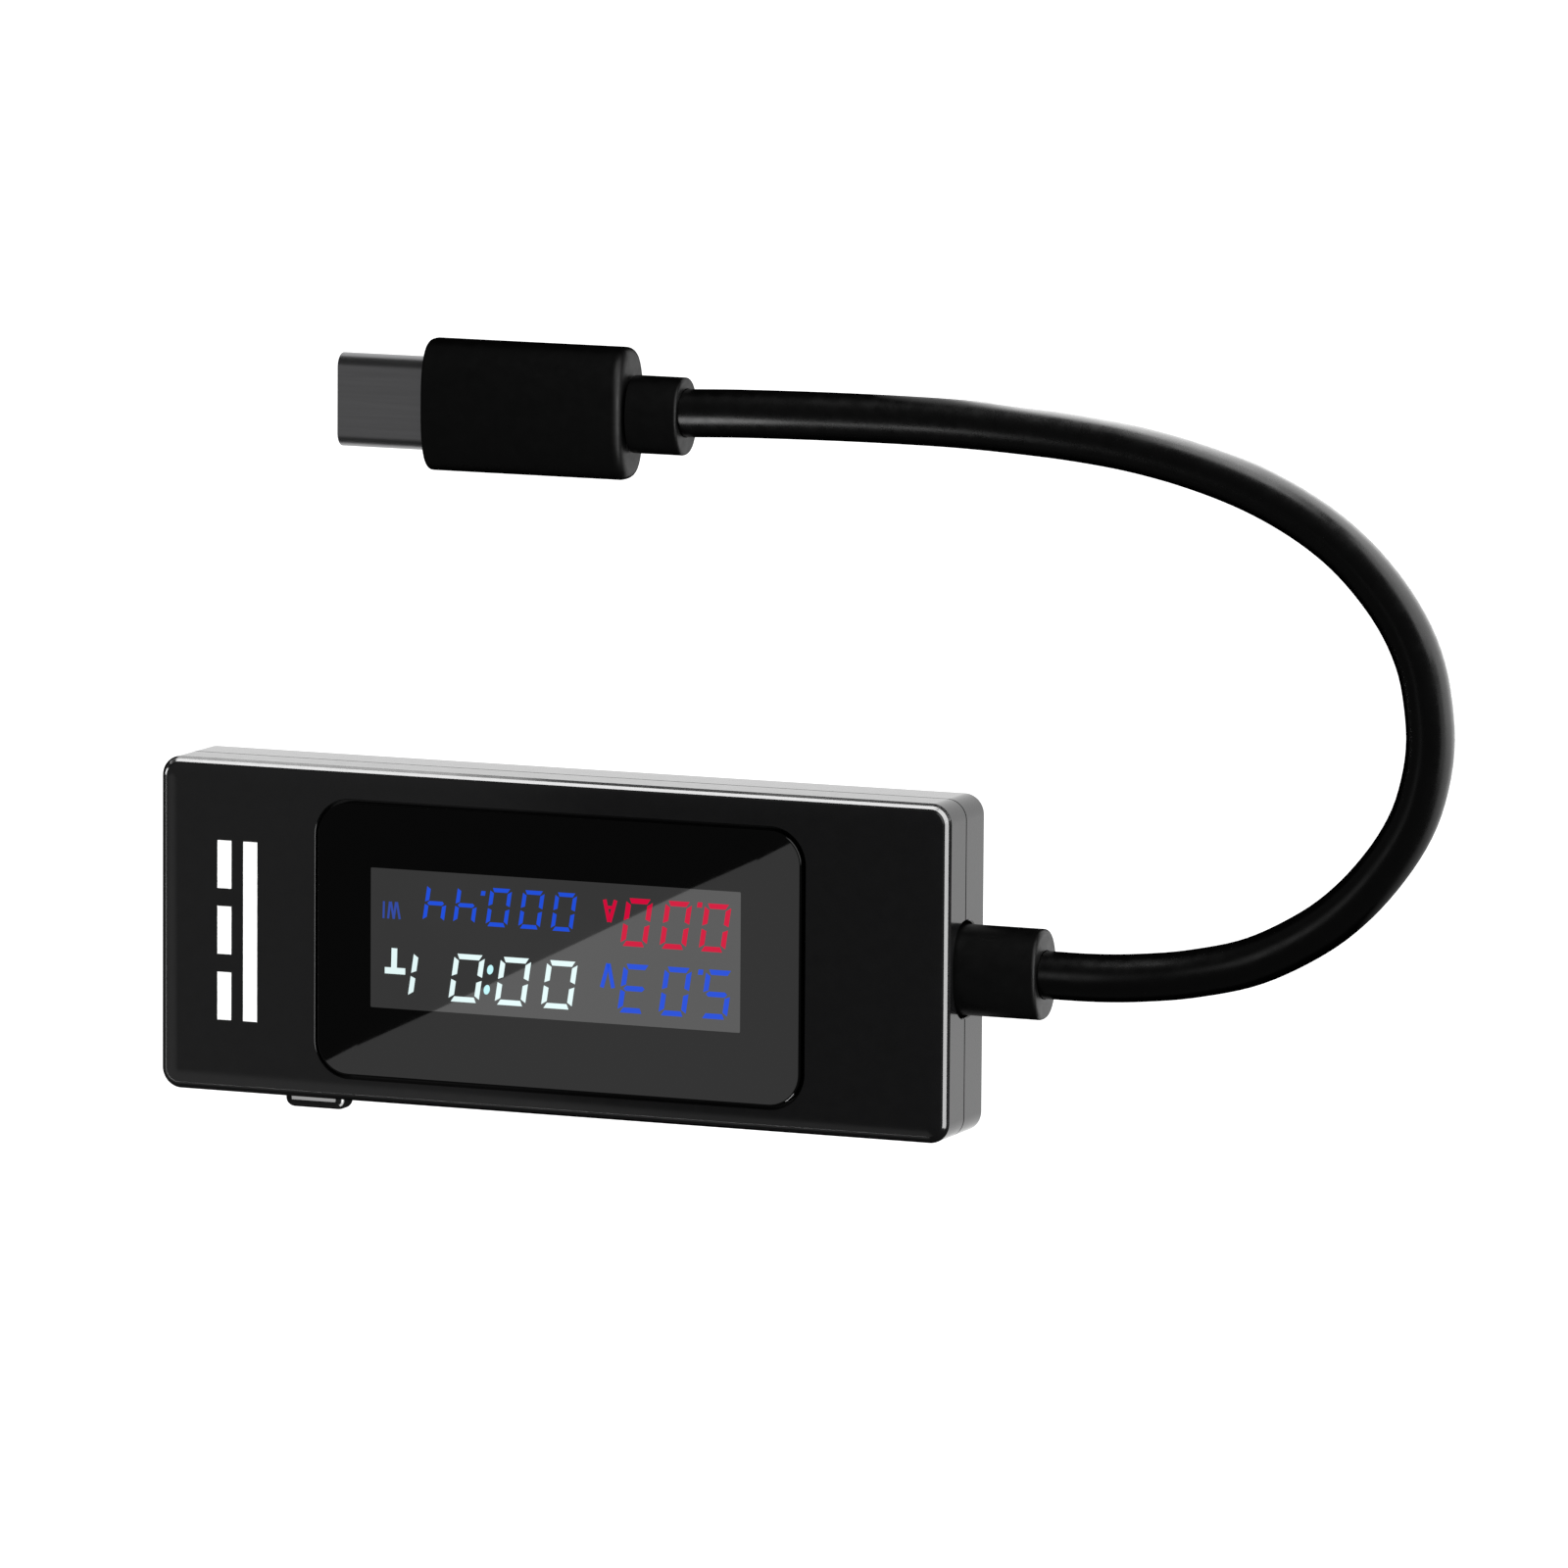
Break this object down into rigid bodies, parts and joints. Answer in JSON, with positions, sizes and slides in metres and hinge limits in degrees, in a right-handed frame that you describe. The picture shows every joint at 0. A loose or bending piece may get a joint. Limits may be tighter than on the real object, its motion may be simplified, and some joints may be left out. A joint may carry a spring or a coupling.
{
  "type": "usb power meter",
  "caption": "Flat in-line USB-C power meter with a segment display, a side button, a receptacle end and a short captive lead with a plug.",
  "frame": {"origin": "middle of the flat back face, which is the face the meter rests on", "axes": "+X out of the receptacle end, along the case; +Y towards the side button; +Z out of the display"},
  "size_m": [0.1182, 0.0686, 0.0088],
  "materials": {
    "back_shell_plastic": "fine satin moulding",
    "front_shell_plastic": "smooth semi-gloss moulding",
    "window_acrylic": "polished, back-printed black border",
    "display_glass": "polished",
    "frame_plastic": "white moulding",
    "light_guide": "frosted",
    "led_resin": "clear resin",
    "strip_silicone": "striped silicone",
    "board_laminate": "green solder mask",
    "chip_resin": "moulded epoxy",
    "shunt_alloy": "metal strip",
    "crystal_can": "plated lid",
    "capacitor_ceramic": "ceramic body",
    "receptacle_steel": "plated",
    "contact_polymer": "moulded polymer",
    "switch_resin": "moulded polymer",
    "plunger_plastic": "moulded polymer",
    "button_plastic": "smooth semi-gloss moulding",
    "boot_rubber": "smooth satin",
    "cable_jacket": "satin jacket",
    "wire_red": "insulation",
    "wire_green": "insulation",
    "wire_blue": "insulation",
    "wire_white": "insulation",
    "wire_black": "insulation",
    "plug_rubber": "smooth satin overmould",
    "plug_steel": "drawn and dark plated"
  },
  "bodies": {
    "meter": {"back_shell": "back_shell_plastic", "front_shell": "front_shell_plastic", "display_window": "window_acrylic", "lcd_glass": "display_glass", "lcd_frame": "frame_plastic", "lcd_backlight": "light_guide", "backlight_led": "led_resin", "zebra_strip_upper": "strip_silicone", "zebra_strip_lower": "strip_silicone", "main_pcb": "board_laminate", "meter_controller_ic": "chip_resin", "memory_ic": "chip_resin", "voltage_regulator": "chip_resin", "current_sense_amplifier": "chip_resin", "shunt_resistor": "shunt_alloy", "timing_crystal": "crystal_can", "output_capacitor": "capacitor_ceramic", "bypass_capacitor": "capacitor_ceramic", "receptacle_shell": "receptacle_steel", "receptacle_tongue": "contact_polymer", "switch_body": "switch_resin", "cable_boot": "boot_rubber", "cable": "cable_jacket", "wire_power": "wire_red", "wire_data_plus": "wire_green", "wire_configuration": "wire_blue", "wire_data_minus": "wire_white", "wire_ground": "wire_black", "plug_neck": "plug_rubber", "plug_overmold": "plug_rubber", "plug_shell": "plug_steel", "plug_insert": "contact_polymer"},
    "button": {"button_cap": "button_plastic", "switch_plunger": "plunger_plastic"}
  },
  "joints": [
    {"name": "button_press", "type": "slide", "parent": "meter", "child": "button", "axis": [0, -1, 0], "range_m": [0, 0.0004], "stiffness_N_per_m": 4000}
  ]
}
